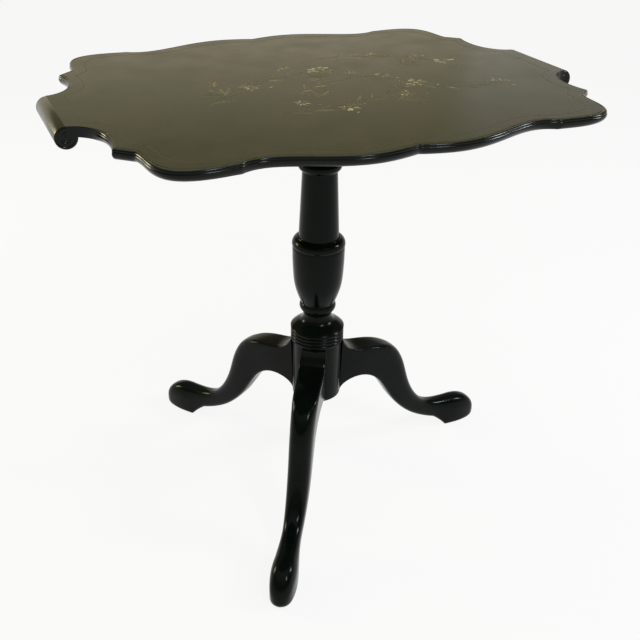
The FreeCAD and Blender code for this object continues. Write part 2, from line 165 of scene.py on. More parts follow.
def finishPiece(name, work, materials, body, nodes, sharp=35):  # a bmesh becomes a piece
    mesh = bpy.data.meshes.new(name)
    work.to_mesh(mesh)
    work.free()
    for material in materials:
        mesh.materials.append(material)
    mesh.shade_smooth()
    mesh.set_sharp_from_angle(angle=np.radians(sharp))
    piece = bpy.data.objects.new(name, mesh)
    bpy.context.scene.collection.objects.link(piece)
    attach(piece, body)
    if nodes:
        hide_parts(*nodes)
    return piece


def faceData(mesh):  # middle and normal of every face, as arrays
    middle, normal = np.empty(len(mesh.polygons) * 3), np.empty(len(mesh.polygons) * 3)
    mesh.polygons.foreach_get("center", middle)
    mesh.polygons.foreach_get("normal", normal)
    return middle.reshape(-1, 3), normal.reshape(-1, 3)


# Materials

def rubbedLacquer():  # olive-brown japan lacquer rubbed flat by hand, its olive partly its own amber tone and partly painted sheen: satin, clouded, specked and scratched
    material, tree, shader, place = startMaterial("japan_lacquer_rubbed_sheen", IOR=1.36)
    clouds = addNode(tree, "ShaderNodeTexNoise", {"Scale": 1 / (140 * mm), "Detail": 5, "Roughness": 0.6},
                     {"Vector": place})
    # the olive base colour is partly the lacquer's own tone and partly painted sheen of a warm room
    olive = addNode(tree, "ShaderNodeValToRGB",
                    {"stops": [(0.34, "302e14"), (0.5, "363418"), (0.66, "3a3416")]},
                    {"Fac": clouds.outputs["Fac"]})
    across = addNode(tree, "ShaderNodeMapping",
                     {"Rotation": (0, 0, 0.45), "Scale": (1 / (90 * mm), 1 / (1.2 * mm), 1)},
                     {"Vector": place})
    lines = addNode(tree, "ShaderNodeTexNoise", {"Scale": 1, "Detail": 1},
                    {"Vector": across.outputs["Vector"]})
    scratches = addNode(tree, "ShaderNodeMapRange", {"From Min": 0.72, "From Max": 0.8, "To Max": 0.25},
                        {"Value": lines.outputs["Fac"]})
    scuffed = addNode(tree, "ShaderNodeMix", {"data_type": "RGBA", 7: linear("7d7650")},
                      {0: scratches.outputs["Result"], 6: olive.outputs["Color"]})
    cells = addNode(tree, "ShaderNodeTexVoronoi", {"Scale": 1 / (22 * mm)}, {"Vector": place})
    specks = addNode(tree, "ShaderNodeMapRange", {"From Min": 0.05, "From Max": 0.03, "To Max": 0.35},
                     {"Value": cells.outputs["Distance"]})
    specked = addNode(tree, "ShaderNodeMix", {"data_type": "RGBA", 7: linear("8c8258")},
                      {0: specks.outputs["Result"], 6: scuffed.outputs[2]})
    rubs = addNode(tree, "ShaderNodeTexNoise", {"Scale": 1 / (50 * mm), "Detail": 4}, {"Vector": place})
    rough = addNode(tree, "ShaderNodeMapRange",
                    {"From Min": 0.3, "From Max": 0.7, "To Min": 0.19, "To Max": 0.27},
                    {"Value": rubs.outputs["Fac"]})
    ripple = addNode(tree, "ShaderNodeBump", {"Strength": 0.08, "Distance": 0.4 * mm},
                     {"Height": clouds.outputs["Fac"]})
    feed(tree, shader, {"Base Color": specked.outputs[2], "Roughness": rough.outputs["Result"],
                        "Normal": ripple.outputs["Normal"]})
    return material


def blackVarnish(name, ior):  # black varnish brushed on wood: deep and glossy, clouded, with a slight ripple
    material, tree, shader, place = startMaterial(name, IOR=ior)
    clouds = addNode(tree, "ShaderNodeTexNoise", {"Scale": 1 / (50 * mm), "Detail": 4}, {"Vector": place})
    black = addNode(tree, "ShaderNodeValToRGB", {"stops": [(0.35, "050b08"), (0.65, "0b110d")]},
                    {"Fac": clouds.outputs["Fac"]})
    rough = addNode(tree, "ShaderNodeMapRange",
                    {"From Min": 0.3, "From Max": 0.7, "To Min": 0.13, "To Max": 0.2},
                    {"Value": clouds.outputs["Fac"]})
    brush = addNode(tree, "ShaderNodeTexNoise", {"Scale": 1 / (10 * mm), "Detail": 2}, {"Vector": place})
    ripple = addNode(tree, "ShaderNodeBump", {"Strength": 0.06, "Distance": 0.5 * mm},
                     {"Height": brush.outputs["Fac"]})
    feed(tree, shader, {"Base Color": black.outputs["Color"], "Roughness": rough.outputs["Result"],
                        "Normal": ripple.outputs["Normal"]})
    return material


def sawnWood(name, colours, grain, roughness):  # stained planed wood: long fibres, darker pores
    material, tree, shader, place = startMaterial(name, Roughness=roughness)
    fibre = {"long": 160 * mm, "wide": 4.5 * mm}
    scale = [1 / fibre["long" if axis == grain else "wide"] for axis in "xyz"]
    fibres = addNode(tree, "ShaderNodeMapping", {"Scale": scale}, {"Vector": place})
    figure = addNode(tree, "ShaderNodeTexNoise",
                     {"Scale": 1, "Detail": 6, "Roughness": 0.62, "Distortion": 0.6},
                     {"Vector": fibres.outputs["Vector"]})
    colour = addNode(tree, "ShaderNodeValToRGB", {"stops": list(zip((0.3, 0.52, 0.74), colours))},
                     {"Fac": figure.outputs["Fac"]})
    relief = addNode(tree, "ShaderNodeBump", {"Strength": 0.25, "Distance": 0.3 * mm},
                     {"Height": figure.outputs["Fac"]})
    feed(tree, shader, {"Base Color": colour.outputs["Color"], "Normal": relief.outputs["Normal"]})
    return material


def agedMetal(name, colours, grit, roughness):  # metal dulled by handling: blotched tarnish over a fine grit
    material, tree, shader, place = startMaterial(name, Metallic=1.0)
    blotch = addNode(tree, "ShaderNodeTexNoise", {"Scale": 1 / (9 * mm), "Detail": 5, "Roughness": 0.6},
                     {"Vector": place})
    colour = addNode(tree, "ShaderNodeValToRGB", {"stops": list(zip((0.3, 0.52, 0.72), colours))},
                     {"Fac": blotch.outputs["Fac"]})
    rough = addNode(tree, "ShaderNodeMapRange",
                    {"From Min": 0.3, "From Max": 0.7, "To Min": roughness[0], "To Max": roughness[1]},
                    {"Value": blotch.outputs["Fac"]})
    grain = addNode(tree, "ShaderNodeTexNoise", {"Scale": 1 / grit, "Detail": 3}, {"Vector": place})
    dimples = addNode(tree, "ShaderNodeBump", {"Strength": 0.3, "Distance": 0.15 * mm},
                      {"Height": grain.outputs["Fac"]})
    feed(tree, shader, {"Base Color": colour.outputs["Color"], "Roughness": rough.outputs["Result"],
                        "Normal": dimples.outputs["Normal"]})
    return material


def giltPaint(name, wornFrom, wornTo):  # bronze powder in varnish: several golds, rubbed in patches
    material, tree, shader, place = startMaterial(name, Roughness=0.42)
    tone = addNode(tree, "ShaderNodeAttribute", {"attribute_name": "tone"})
    golds = [(0.0, "545130"), (0.3, "7e7a4a"), (0.65, "dad2a4"), (0.82, "bd8c3c"), (1.0, "a8877a")]
    gold = addNode(tree, "ShaderNodeValToRGB", {"stops": golds}, {"Fac": tone.outputs["Fac"]})
    patches = addNode(tree, "ShaderNodeTexNoise", {"Scale": 1 / (6 * mm), "Detail": 6, "Roughness": 0.65},
                      {"Vector": place})
    worn = addNode(tree, "ShaderNodeMapRange", {"From Min": wornFrom, "From Max": wornTo},
                   {"Value": patches.outputs["Fac"]})
    colour = addNode(tree, "ShaderNodeMix", {"data_type": "RGBA", 7: linear("443a22")},
                     {0: worn.outputs["Result"], 6: gold.outputs["Color"]})
    metal = addNode(tree, "ShaderNodeMapRange", {"To Min": 0.45, "To Max": 0.0},
                    {"Value": worn.outputs["Result"]})
    feed(tree, shader, {"Base Color": colour.outputs[2], "Metallic": metal.outputs["Result"]})
    return material


lacquerSheenTop = rubbedLacquer()
ebony = blackVarnish("ebonised_beech", 1.19)  # low, to match the object's dark tone
rimLacquer = blackVarnish("japan_lacquer_rim", 1.27)
underWood = sawnWood("mahogany_underside_stained", ("1f130c", "33200f", "452c18"), "x", 0.6)
battenWood = sawnWood("oak_batten_stained", ("2c1d10", "4a3119", "5e4124"), "y", 0.55)
blockWood = sawnWood("mahogany_block_stained", ("2a160c", "45250f", "5a3318"), "x", 0.5)
pintleWood = sawnWood("beech_pin_waxed", ("7a5a38", "94714a", "a98459"), "x", 0.42)
screwSteel = agedMetal("steel_screw_dull", ("4d4a46", "77736d", "8e8a84"), 0.6 * mm, (0.34, 0.5))
plateIron = agedMetal("wrought_iron_blacked", ("1a1817", "2a2725", "3a322c"), 3 * mm, (0.5, 0.68))
catchBrass = agedMetal("cast_brass_aged", ("6b5128", "a07f43", "b8985a"), 0.8 * mm, (0.28, 0.46))
giltBright = giltPaint("gilt_bronze_paint", 0.46, 0.62)
giltFaint = giltPaint("gilt_line_worn", 0.4, 0.55)
print("materials made")


# The shaped top: three boards, and a rolled scroll at each short end

boardLow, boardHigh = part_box("top_centre_board")
scrollLow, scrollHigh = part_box("right_scroll")
top = {
    "level": boardHigh.z, "under": boardLow.z, "seam": boardHigh.y, "joint": boardHigh.x,
    "halfLength": cadBox[1].x, "halfWidth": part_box("top_back_board")[1].y,
    "rollRadius": (scrollHigh.z - scrollLow.z) / 2, "rollHalf": 70 * mm,
    # a quarter of the edge, from the middle of a long side, as shares of half the length and half the width
    "lobe": [(0, 0.963), (0.056, 0.984), (0.148, 1.0), (0.242, 0.983), (0.332, 0.943), (0.416, 0.901),
             (0.487, 0.8825), (0.564, 0.909)],
    "shoulder": [(0.564, 0.909), (0.638, 0.917), (0.714, 0.911), (0.773, 0.8725), (0.8035, 0.792),
                 (0.811, 0.711), (0.8214, 0.634)],
    "nose": (0.875, 0.571),
    # the cove as shares of the way from the nose to the roll
    "cove": [(0, 0), (-0.12, 0.23), (-0.12, 0.46), (0.02, 0.69), (0.35, 0.88), (0.69, 0.97), (1, 1)],
    "edgeSteps": {"lobe": 64, "shoulder": 56, "straight": 9, "cove": 48, "end": 12},
    "mouldingFade": (0.35, 1.0),  # the moulding dies away over this share of the cove
    # moulding from the flat down, inset and depth in mm: quirk, bead, fine groove, thumbnail, under-bevel
    "moulding": [(7.4, 0), (6.6, 0), (6.2, 0.12), (5.9, 0.45), (5.5, 0.5), (5.15, 0.25), (4.6, 0.05),
                 (3.8, 0), (2.9, 0.15), (2.0, 0.55), (1.3, 1.2), (0.85, 2.0), (0.7, 2.9), (0.85, 3.5),
                 (1.15, 3.8), (0.75, 4.1), (0.3, 4.8), (0, 6.0), (0.1, 7.4), (0.5, 9.0), (1.3, 10.6),
                 (2.5, 12.1), (3.9, 13.3), (5.0, 14.0)],
    "flat": [0.01, 0.2, 0.4, 0.6, 0.8, 0.94],  # rings of the flat, as shares of the way out to the moulding
    "lacquerSheenTilt": 0.6, "lacquerDepth": 0.5 * mm,  # faces that look up more and lie higher take the olive lacquer, whose colour is partly painted sheen
    "endTilt": 0.5, "flatTilt": 0.99, "underDepth": 0.05 * mm,  # for roll ends, cuts and the underside
    "touch": 1e-6, "cutTouch": 1e-7,  # metres within which a face lies on a joint, or a point on a cut
}
top["rollCentre"] = top["halfLength"] - top["rollRadius"]


def topEdge():  # a quarter of splines and straights, mirrored; and how much moulding each point carries
    steps = top["edgeSteps"]
    half = np.array([top["halfLength"], top["halfWidth"]])
    corner = np.array([top["rollCentre"], top["rollHalf"]])
    nose = np.array(top["nose"]) * half
    lobe = throughPoints(np.array(top["lobe"]) * half, steps["lobe"])
    shoulder = throughPoints(np.array(top["shoulder"]) * half, steps["shoulder"])
    straight = np.linspace(shoulder[-1], nose, steps["straight"])
    cove = throughPoints(nose + np.array(top["cove"]) * (corner - nose), steps["cove"])
    end = np.linspace(cove[-1], (corner[0], 0), steps["end"])
    quarter = np.concatenate([lobe[:-1], shoulder[:-1], straight[:-1], cove[:-1], end])
    moulded = np.ones(len(quarter))
    coveAt = len(lobe) + len(shoulder) + len(straight) - 3
    fade = smoothStep(*top["mouldingFade"], np.linspace(0, 1, len(cove)))
    moulded[coveAt:coveAt + len(cove)] = 1 - fade
    moulded[coveAt + len(cove):] = 0
    edge = np.concatenate([quarter[:-1], (quarter * (1, -1))[::-1][:-1], (-quarter)[:-1],
                           (quarter * (-1, 1))[::-1][:-1]])
    weight = np.concatenate([moulded[:-1], moulded[::-1][:-1], moulded[:-1], moulded[::-1][:-1]])
    return edge, weight


def drawnIn(edge, inset):  # the edge drawn in towards the middle by the inset, each way by its own share
    return edge * (1 - np.multiply.outer(np.asarray(inset), [1 / top["halfLength"], 1 / top["halfWidth"]]))


def topSlab():  # rings from the middle of the flat to the rim, down the moulding and back underneath
    edge, weight = topEdge()
    rings = [(share, top["moulding"][0]) for share in top["flat"]]
    rings += [(1, step) for step in top["moulding"]]
    rings += [(share, top["moulding"][-1]) for share in top["flat"][::-1]]
    layers = []
    for share, (inset, depth) in rings:
        flat = drawnIn(edge, inset * mm * weight) * share
        layers.append(np.column_stack([flat, np.full(len(flat), top["level"] - depth * mm)]))
    return skin(np.array(layers))


def cutBetween(shell, planes):  # keeps the side of each plane that its normal points away from, cuts closed
    work = meshOf(shell)
    for place, normal in planes:
        whole = work.verts[:] + work.edges[:] + work.faces[:]
        bmesh.ops.bisect_plane(work, geom=whole, dist=top["cutTouch"], plane_co=place, plane_no=normal,
                               clear_outer=True)
        bmesh.ops.holes_fill(work, edges=[e for e in work.edges if e.is_boundary])
    return work


def dressTop(piece):  # olive lacquer on the flat and the roll, partly painted sheen that makes them lighter than the black edge; stained wood below and in joints
    middle, normal = faceData(piece.data)
    alongX, alongY, level = np.abs(middle[:, 0]), np.abs(middle[:, 1]), middle[:, 2]
    kind = np.ones(len(middle), np.int32)
    # up-facing faces get the olive lacquer: partly painted sheen, lighter than the black edge
    kind[(normal[:, 2] > top["lacquerSheenTilt"]) & (level > top["level"] - top["lacquerDepth"])] = 0
    kind[(alongX > top["rollCentre"]) & (np.abs(normal[:, 1]) < top["endTilt"])] = 0
    kind[(normal[:, 2] < -top["flatTilt"]) & (level < top["under"] + top["underDepth"])] = 2
    inSeam = (np.abs(alongY - top["seam"]) < top["touch"]) & (np.abs(normal[:, 1]) > top["flatTilt"])
    inJoint = (np.abs(alongX - top["joint"]) < top["touch"]) & (np.abs(normal[:, 0]) > top["flatTilt"])
    kind[inSeam | inJoint] = 2
    piece.data.polygons.foreach_set("material_index", kind)


volute = {"grooveDepth": 0.7 * mm, "grooveWidth": 0.9 * mm, "pitch": 5.4 * mm, "eye": 3.4 * mm,
          "fade": 1.2 * mm, "rimRound": 1.8 * mm, "turns": 168, "rings": 54, "firstRing": 0.0004}


def rolledScroll(side):  # a roll along Y with spiral-grooved ends: radius shrinks evenly with the angle
    radius = top["rollRadius"]
    angle = np.linspace(0, 2 * np.pi, volute["turns"], endpoint=False)
    across = radius * np.sqrt(np.linspace(volute["firstRing"], 1, volute["rings"]))
    r, a = np.meshgrid(across, angle, indexing="ij")
    winding = (radius - r) / volute["pitch"] - a / (2 * np.pi)
    off = (winding - np.round(winding)) * volute["pitch"]
    carved = smoothStep(volute["eye"], volute["eye"] + volute["fade"], r)
    spiral = carved * np.exp(-(off / volute["grooveWidth"]) ** 2)
    ring = np.exp(-((r - volute["eye"]) / volute["grooveWidth"]) ** 2)
    depth = volute["grooveDepth"] * np.maximum(spiral, ring)
    edge = np.clip((r - radius) / volute["rimRound"] + 1, 0, 1)
    depth += volute["rimRound"] * (1 - np.sqrt(1 - edge ** 2))
    x = side * (top["rollCentre"] - r * np.cos(a))
    z = top["level"] - radius + r * np.sin(a)
    ends = [np.stack([x, sign * (top["rollHalf"] - depth), z], axis=-1) for sign in (-1, 1)]
    return skin(np.concatenate([ends[0], ends[1][::-1]]))


slab = topSlab()
seam, joint = top["seam"], top["joint"]
rightWay, backWay = (1, 0, 0), (0, 1, 0)
leftWay, frontWay = (-1, 0, 0), (0, -1, 0)
topMaterials = [lacquerSheenTop, rimLacquer, underWood]
centrePlanes = [((0, seam, 0), backWay), ((0, -seam, 0), frontWay)]
boards = {
    "top_front_board": [((0, -seam, 0), backWay)],
    "top_centre_board": centrePlanes + [((joint, 0, 0), rightWay), ((-joint, 0, 0), leftWay)],
    "top_back_board": [((0, seam, 0), frontWay)],
}
for name, planes in boards.items():
    boardWork = cutBetween(slab, planes)
    dressTop(finishPiece("lacquered_" + name, boardWork, topMaterials, "top", [name]))
for name, side in (("left_scroll", -1), ("right_scroll", 1)):
    scrollWork = cutBetween(slab, centrePlanes + [((side * joint, 0, 0), (-side, 0, 0))])
    rollWork = meshOf(rolledScroll(side))
    rollMesh = bpy.data.meshes.new("roll")
    rollWork.to_mesh(rollMesh)
    rollWork.free()
    scrollWork.from_mesh(rollMesh)
    bpy.data.meshes.remove(rollMesh)
    dressTop(finishPiece("lacquered_" + name, scrollWork, topMaterials, "top", [name]))
print("top made: three boards and two scrolls")


# The turned column

columnLow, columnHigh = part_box("column")
column = {
    "bottom": columnLow.z, "height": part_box("tilt_block")[0].z - columnLow.z, "top": columnHigh.z,
    # radii in mm from the foot up
    "drum": 41.0, "reedRoot": 42.2, "reed": 44.4, "reeds": 4, "shoulder": 44.8, "domeTop": 31.5,
    "neck": 23.7, "neckLip": 25.8, "bead": 30.0, "urnFoot": 27.6, "urn": 42.0, "groove": 41.0, "rim": 42.6,
    "shaftFoot": 32.3, "shaftTop": 27.4, "collarFoot": 28.2, "collar": 34.0, "capNeck": 27.0, "cap": 38.0,
    "tenon": 19.0,
    # levels as shares of the height up to the tilt block
    "levels": {"drum": 0.2143, "reed": 0.2657, "dome": 0.2855, "neck": 0.3129, "neckTop": 0.3286,
               "bead": 0.3592, "urn": 0.5596, "rimLow": 0.5702, "rimTop": 0.5971, "shaft": 0.822,
               "collarFoot": 0.8241, "collar": 0.8555, "capNeck": 0.898, "cap": 0.9645},
    "urnSwell": [(0.17, 0.809), (0.34, 0.915), (0.56, 0.97), (0.82, 0.998)],  # shares of its rise and radius
    "dome": (0.858, 0.541), "rimRound": (0.734, 0.732), "cove": 0.25,
    "bandWidth": 2.4, "bandRise": 1.1,  # a thin raised ring where the shaft stands on the rim
    "softening": 0.4, "softTails": 3, "fineStep": 0.2, "longStep": 4.0, "turnStep": 9.0, "around": 128,
    "urnSteps": 60, "poleRadius": 0.05, "samePoint": 1e-6, "sharp": 60,
}


def columnOutline():  # radius and height in mm, member by member from the foot of the drum to the tenon
    c, height, bottom = column, column["height"] / mm, column["bottom"] / mm
    at = {name: bottom + share * height for name, share in c["levels"].items()}

    def between(low, high, share=0.5):
        return low + share * (high - low)

    parts = [np.array([(0, bottom), (c["drum"], bottom), (c["drum"], at["drum"])])]
    marks = np.linspace(at["drum"], at["reed"], c["reeds"] + 1)
    for low, high in zip(marks, marks[1:]):
        parts.append(arcPoints((c["reedRoot"], low), (c["reed"], between(low, high)), (c["reedRoot"], high)))
    domeWaist = (c["dome"][0] * c["shoulder"], between(at["reed"], at["dome"], c["dome"][1]))
    beadWaist = (c["bead"], between(at["neckTop"], at["bead"]))
    urn = [(c["urnFoot"], at["bead"])]
    urn += [(swell * c["urn"], between(at["bead"], at["urn"], rise)) for rise, swell in c["urnSwell"]]
    urn += [(c["urn"], at["urn"])]
    band = c["shaftFoot"] + c["bandWidth"]
    bandTop = at["rimTop"] + c["bandRise"]
    bandWaist = (band, between(at["rimTop"], bandTop))
    rimWaist = (between(c["shaftFoot"], c["rim"], c["rimRound"][0]),
                between(at["rimLow"], at["rimTop"], c["rimRound"][1]))
    collarWaist = (c["collar"], between(at["collarFoot"], at["collar"]))
    capWaist = (between(c["capNeck"], c["cap"], c["cove"]), between(at["capNeck"], at["cap"]))
    parts += [
        arcPoints((c["shoulder"], at["reed"]), domeWaist, (c["domeTop"], at["dome"])),
        arcPoints((c["domeTop"], at["dome"]), (c["neck"], at["neck"]), (c["neckLip"], at["neckTop"])),
        arcPoints((c["neckLip"], at["neckTop"]), beadWaist, (c["urnFoot"], at["bead"])),
        throughPoints(urn, c["urnSteps"]),
        np.array([(c["groove"], between(at["urn"], at["rimLow"]))]),
        arcPoints((c["rim"], at["rimLow"]), rimWaist, (band, at["rimTop"])),
        arcPoints((band, at["rimTop"]), bandWaist, (between(c["shaftFoot"], band), bandTop)),
        np.array([(c["shaftFoot"], bandTop), (c["shaftTop"], at["shaft"])]),
        arcPoints((c["collarFoot"], at["collarFoot"]), collarWaist, (c["collarFoot"], at["collar"])),
        np.array([(c["capNeck"], at["collar"]), (c["capNeck"], at["capNeck"])]),
        arcPoints((c["capNeck"], at["capNeck"]), capWaist, (c["cap"], at["cap"])),
        np.array([(c["cap"], bottom + height), (c["tenon"], bottom + height)]),
        np.array([(c["tenon"], c["top"] / mm), (0, c["top"] / mm)]),
    ]
    outline = np.concatenate(parts)
    return outline[np.r_[True, np.linalg.norm(np.diff(outline, axis=0), axis=1) > c["samePoint"]]]


def softened(outline):  # a bell-shaped moving average rounds the corners; points stay close where it turns
    reach = np.r_[0, np.cumsum(np.linalg.norm(np.diff(outline, axis=0), axis=1))]
    fine = np.arange(0, reach[-1], column["fineStep"])
    line = np.stack([np.interp(fine, reach, outline[:, k]) for k in (0, 1)], axis=1)
    half = int(column["softTails"] * column["softening"] / column["fineStep"])
    spread = np.exp(-0.5 * (np.arange(-half, half + 1) * column["fineStep"] / column["softening"]) ** 2)
    padded = np.pad(line, ((half, half), (0, 0)), mode="edge")
    line = np.stack([np.convolve(padded[:, k], spread / spread.sum(), "valid") for k in (0, 1)], axis=1)
    step = np.diff(line, axis=0)
    heading = np.unwrap(np.arctan2(step[:, 1], step[:, 0]))
    turning = np.abs(np.diff(heading, append=heading[-1])) / np.radians(column["turnStep"])
    measure = np.r_[0, np.cumsum(turning + np.linalg.norm(step, axis=1) / column["longStep"])]
    wanted = np.linspace(0, measure[-1], int(measure[-1]))
    return np.stack([np.interp(wanted, measure, line[:, k]) for k in (0, 1)], axis=1)


def turned(outline):  # every outline point swung round the Z axis
    angle = np.linspace(0, 2 * np.pi, column["around"], endpoint=False)
    radius = np.maximum(outline[:, 0], column["poleRadius"])[:, None]
    height = np.broadcast_to(outline[:, 1:], (len(outline), len(angle)))
    return np.stack([radius * np.cos(angle), radius * np.sin(angle), height], axis=-1) * mm


columnWork = meshOf(skin(turned(softened(columnOutline()))))
finishPiece("ebonised_column", columnWork, [ebony], "base", ["column"], column["sharp"])
print("column made")


# The cabriole legs

legs = {
    "angles": {"leg_right": 4.0, "leg_back_left": 122.0, "leg_front": 237.2},
    "reach": 352.0, "rise": 270.0, "halfKnee": 22.0, "drum": 41.0,
    # side view from the column to the toe, as shares of the reach and the rise
    "upper": [(0.1265, 0.984), (0.138, 0.94), (0.165, 0.895), (0.25, 0.864), (0.327, 0.849), (0.388, 0.824),
              (0.437, 0.782), (0.476, 0.716), (0.505, 0.627), (0.528, 0.527), (0.556, 0.43), (0.6, 0.332),
              (0.664, 0.252), (0.744, 0.218), (0.824, 0.209), (0.897, 0.198), (0.953, 0.164),
              (0.987, 0.112), (1.0, 0.06)],
    "lower": [(0.1165, 0.6074), (0.138, 0.643), (0.165, 0.66), (0.205, 0.666), (0.25, 0.655), (0.298, 0.622),
              (0.347, 0.556), (0.39, 0.47), (0.432, 0.38), (0.496, 0.276), (0.557, 0.204), (0.613, 0.155),
              (0.72, 0.09)],
    "heel": [(0.72, 0.09), (0.755, 0.056), (0.784, 0.02), (0.798, 0)],
    "sole": [(0.798, 0), (0.984, 0)],
    "toe": [(0.984, 0), (0.996, 0.016), (1.0, 0.055)],
    # plan view, as shares of the reach and of half the knee
    "plan": [(0.06, 1.0), (0.284, 1.0), (0.455, 0.92), (0.597, 0.77), (0.682, 0.71), (0.767, 0.79),
             (0.862, 0.94), (0.938, 0.85), (0.983, 0.57), (1.0, 0.0)],
    # sections: where each meets the upper and lower line, how square it is above and below, crown and taper
    "sections": [(0.1265, 0.1165, 40, 24, 0, 0.0), (0.25, 0.205, 16, 24, 0.02, 0.04),
                 (0.388, 0.298, 4.6, 16, 0.05, 0.1), (0.43, 0.322, 3.4, 12, 0.05, 0.11),
                 (0.476, 0.347, 2.8, 8, 0.03, 0.12), (0.528, 0.41, 2.6, 5, 0, 0.1),
                 (0.6, 0.496, 2.6, 4, 0, 0.05), (0.664, 0.613, 2.6, 3.6, 0, 0),
                 (0.744, 0.72, 2.6, 4, 0, 0), (0.824, 0.798, 2.6, 9, 0, 0), (0.897, 0.88, 2.6, 10, 0, 0),
                 (0.953, 0.94, 2.6, 10, 0, 0), (1.0, 1.0, 2.6, 8, 0, 0)],
    "lineSteps": {"upper": 400, "lower": 300, "heel": 60, "plan": 401},
    "steps": 12, "around": 96, "tip": 0.03, "toeBlend": (0.84, 0.97), "sharp": 40,
}


def pointsAlong(line, marks, at):  # points of a line whose parameter passes each mark at a whole number
    reach = np.r_[0, np.cumsum(np.linalg.norm(np.diff(line, axis=0), axis=1))]
    place = np.interp(at, np.arange(len(marks)), np.interp(marks, line[:, 0], reach))
    return np.stack([np.interp(place, reach, line[:, k]) for k in (0, 1)], axis=1)


def legSection():  # squared ovals: middle + half height * sin^(2/n) along, plan width * cos^(2/n) across
    scale = np.array([legs["reach"], legs["rise"]])
    steps = legs["lineSteps"]
    upper = throughPoints(np.array(legs["upper"]) * scale, steps["upper"])
    toe = arcPoints(*(np.array(legs["toe"]) * scale))
    lower = np.concatenate([throughPoints(np.array(legs["lower"]) * scale, steps["lower"]),
                            throughPoints(np.array(legs["heel"]) * scale, steps["heel"]),
                            np.array(legs["sole"]) * scale, toe])
    outer = np.array(legs["plan"])
    bothSides = np.concatenate([outer, (outer * (1, -1))[-2::-1]]) * (legs["reach"], legs["halfKnee"])
    plan = throughPoints(bothSides, 2 * steps["plan"] - 1)[:steps["plan"]]
    onUpper, onLower, squareTop, squareUnder, crown, taper = np.array(legs["sections"]).T
    last = len(onUpper) - 1
    at = np.linspace(0, 1, last * legs["steps"] + 1) * last
    at = np.where(at > last - 1, last - (last - at) ** 2, at)  # closer together towards the tip of the toe
    at = np.minimum(at, last - legs["tip"] ** 2)

    def along(values):
        return np.interp(at, np.arange(last + 1), values)[:, None]

    upperLine = pointsAlong(upper, onUpper * legs["reach"], at)
    lowerLine = pointsAlong(lower, onLower * legs["reach"], at)
    middle, halfHeight = (upperLine + lowerLine) / 2, (upperLine - lowerLine) / 2
    angle = np.linspace(0, 2 * np.pi, legs["around"], endpoint=False)
    sine, cosine = np.sin(angle), np.cos(angle)
    square = np.where(sine >= 0, along(squareTop), along(squareUnder))
    up = np.sign(sine) * np.abs(sine) ** (2 / square)
    across = np.sign(cosine) * np.abs(cosine) ** (2 / square)
    up = np.where(up > 0, up * (1 - along(crown) * across ** 2), up)
    x = middle[:, :1] + halfHeight[:, :1] * up
    z = middle[:, 1:] + halfHeight[:, 1:] * up
    drawnBack = legs["reach"] - np.interp(z, toe[:, 1], toe[:, 0])  # how far back the toe is at each level
    drawnBack *= smoothStep(*legs["toeBlend"], x / legs["reach"])
    y = np.interp(x + drawnBack, plan[:, 0], plan[:, 1]) * across
    y *= 1 - along(taper) * (1 - up) / 2
    scribe = np.sqrt(legs["drum"] ** 2 - y ** 2) - legs["drum"]  # hollows the first section to fit it
    return np.stack([x + scribe * (1 - smoothStep(0, 1, at))[:, None], y, z], axis=-1) * mm


section = legSection()
for name, degrees in legs["angles"].items():
    turn = np.radians(degrees)
    spin = np.array([[np.cos(turn), np.sin(turn), 0], [-np.sin(turn), np.cos(turn), 0], [0, 0, 1]])
    legWork = meshOf(skin(section @ spin))
    finishPiece("ebonised_" + name, legWork, [ebony], "base", [name], legs["sharp"])
print("legs made")


# Gilt decoration on the flat: blooms, grass tufts and leafy stems, and a thin line inside the rim

gilt = {"rise": 0.14 * mm, "sink": 0.06 * mm, "lineInset": 24 * mm, "lineWidth": 1.1 * mm}
brushDab = {"rings": 7, "sides": 6, "ends": (0.02, 0.98), "lean": 1.2, "fullness": 0.75}
petal = {"turn": 0.2, "lost": 0.2, "start": (0.22, 0.34), "length": (0.4, 0.78), "width": (0.16, 0.3),
         "fade": 0.45, "pinkFrom": 0.9, "pinkFade": 0.08}  # sizes as shares of the bloom's radius
heart = {"dots": 4, "spread": 0.2, "length": 0.18, "width": 0.16, "tone": (0.68, 0.84)}  # shares too
leaf = {"run": (0.08, 0.97), "splay": 0.55, "sway": 0.25, "size": (0.6, 1.2), "foot": 1.15, "taper": 0.5,
        "width": (0.1, 0.2), "tone": (0, 0.42)}
stroke = {"count": 26, "overlap": 1.5, "width": (1.4, 0.8), "tone": (0, 0.25)}
grass = {"sway": 0.12, "size": (0.55, 1.05), "width": 0.08, "tone": (0, 0.36)}
mark = {"count": 7, "reach": 2.4, "length": (3.5, 9), "width": (1.4, 2.8), "tone": (0, 0.72)}


def dab():  # a brush dab of unit length and width: a flat spindle, widest a little past the middle
    u = np.linspace(*brushDab["ends"], brushDab["rings"])[:, None]
    angle = np.linspace(0, 2 * np.pi, brushDab["sides"], endpoint=False)
    swell = np.sin(np.pi * u ** brushDab["lean"]) ** brushDab["fullness"]
    return skin(np.stack([u + 0 * angle, swell * np.cos(angle) / 2, swell * np.sin(angle)], axis=-1))


def placed(rows):  # every dab row is x, y, heading, length, width, tone, in mm and radians
    rows = np.asarray(rows)
    points, faces = dab()
    x, y, heading, length, width = (rows[:, k][:, None] for k in range(5))
    along, across = points[:, 0] * length, points[:, 1] * width
    height = top["level"] + np.where(points[:, 2] > 0, gilt["rise"], gilt["sink"]) * points[:, 2]
    shaped = np.stack([
        (x + along * np.cos(heading) - across * np.sin(heading)) * mm,
        (y + along * np.sin(heading) + across * np.cos(heading)) * mm,
        np.broadcast_to(height, along.shape),
    ], axis=-1)
    offsets = np.arange(len(rows)) * len(points)
    allFaces = [[corner + offset for corner in face] for offset in offsets.tolist() for face in faces]
    return (shaped.reshape(-1, 3), allFaces), np.repeat(rows[:, 5], len(points))


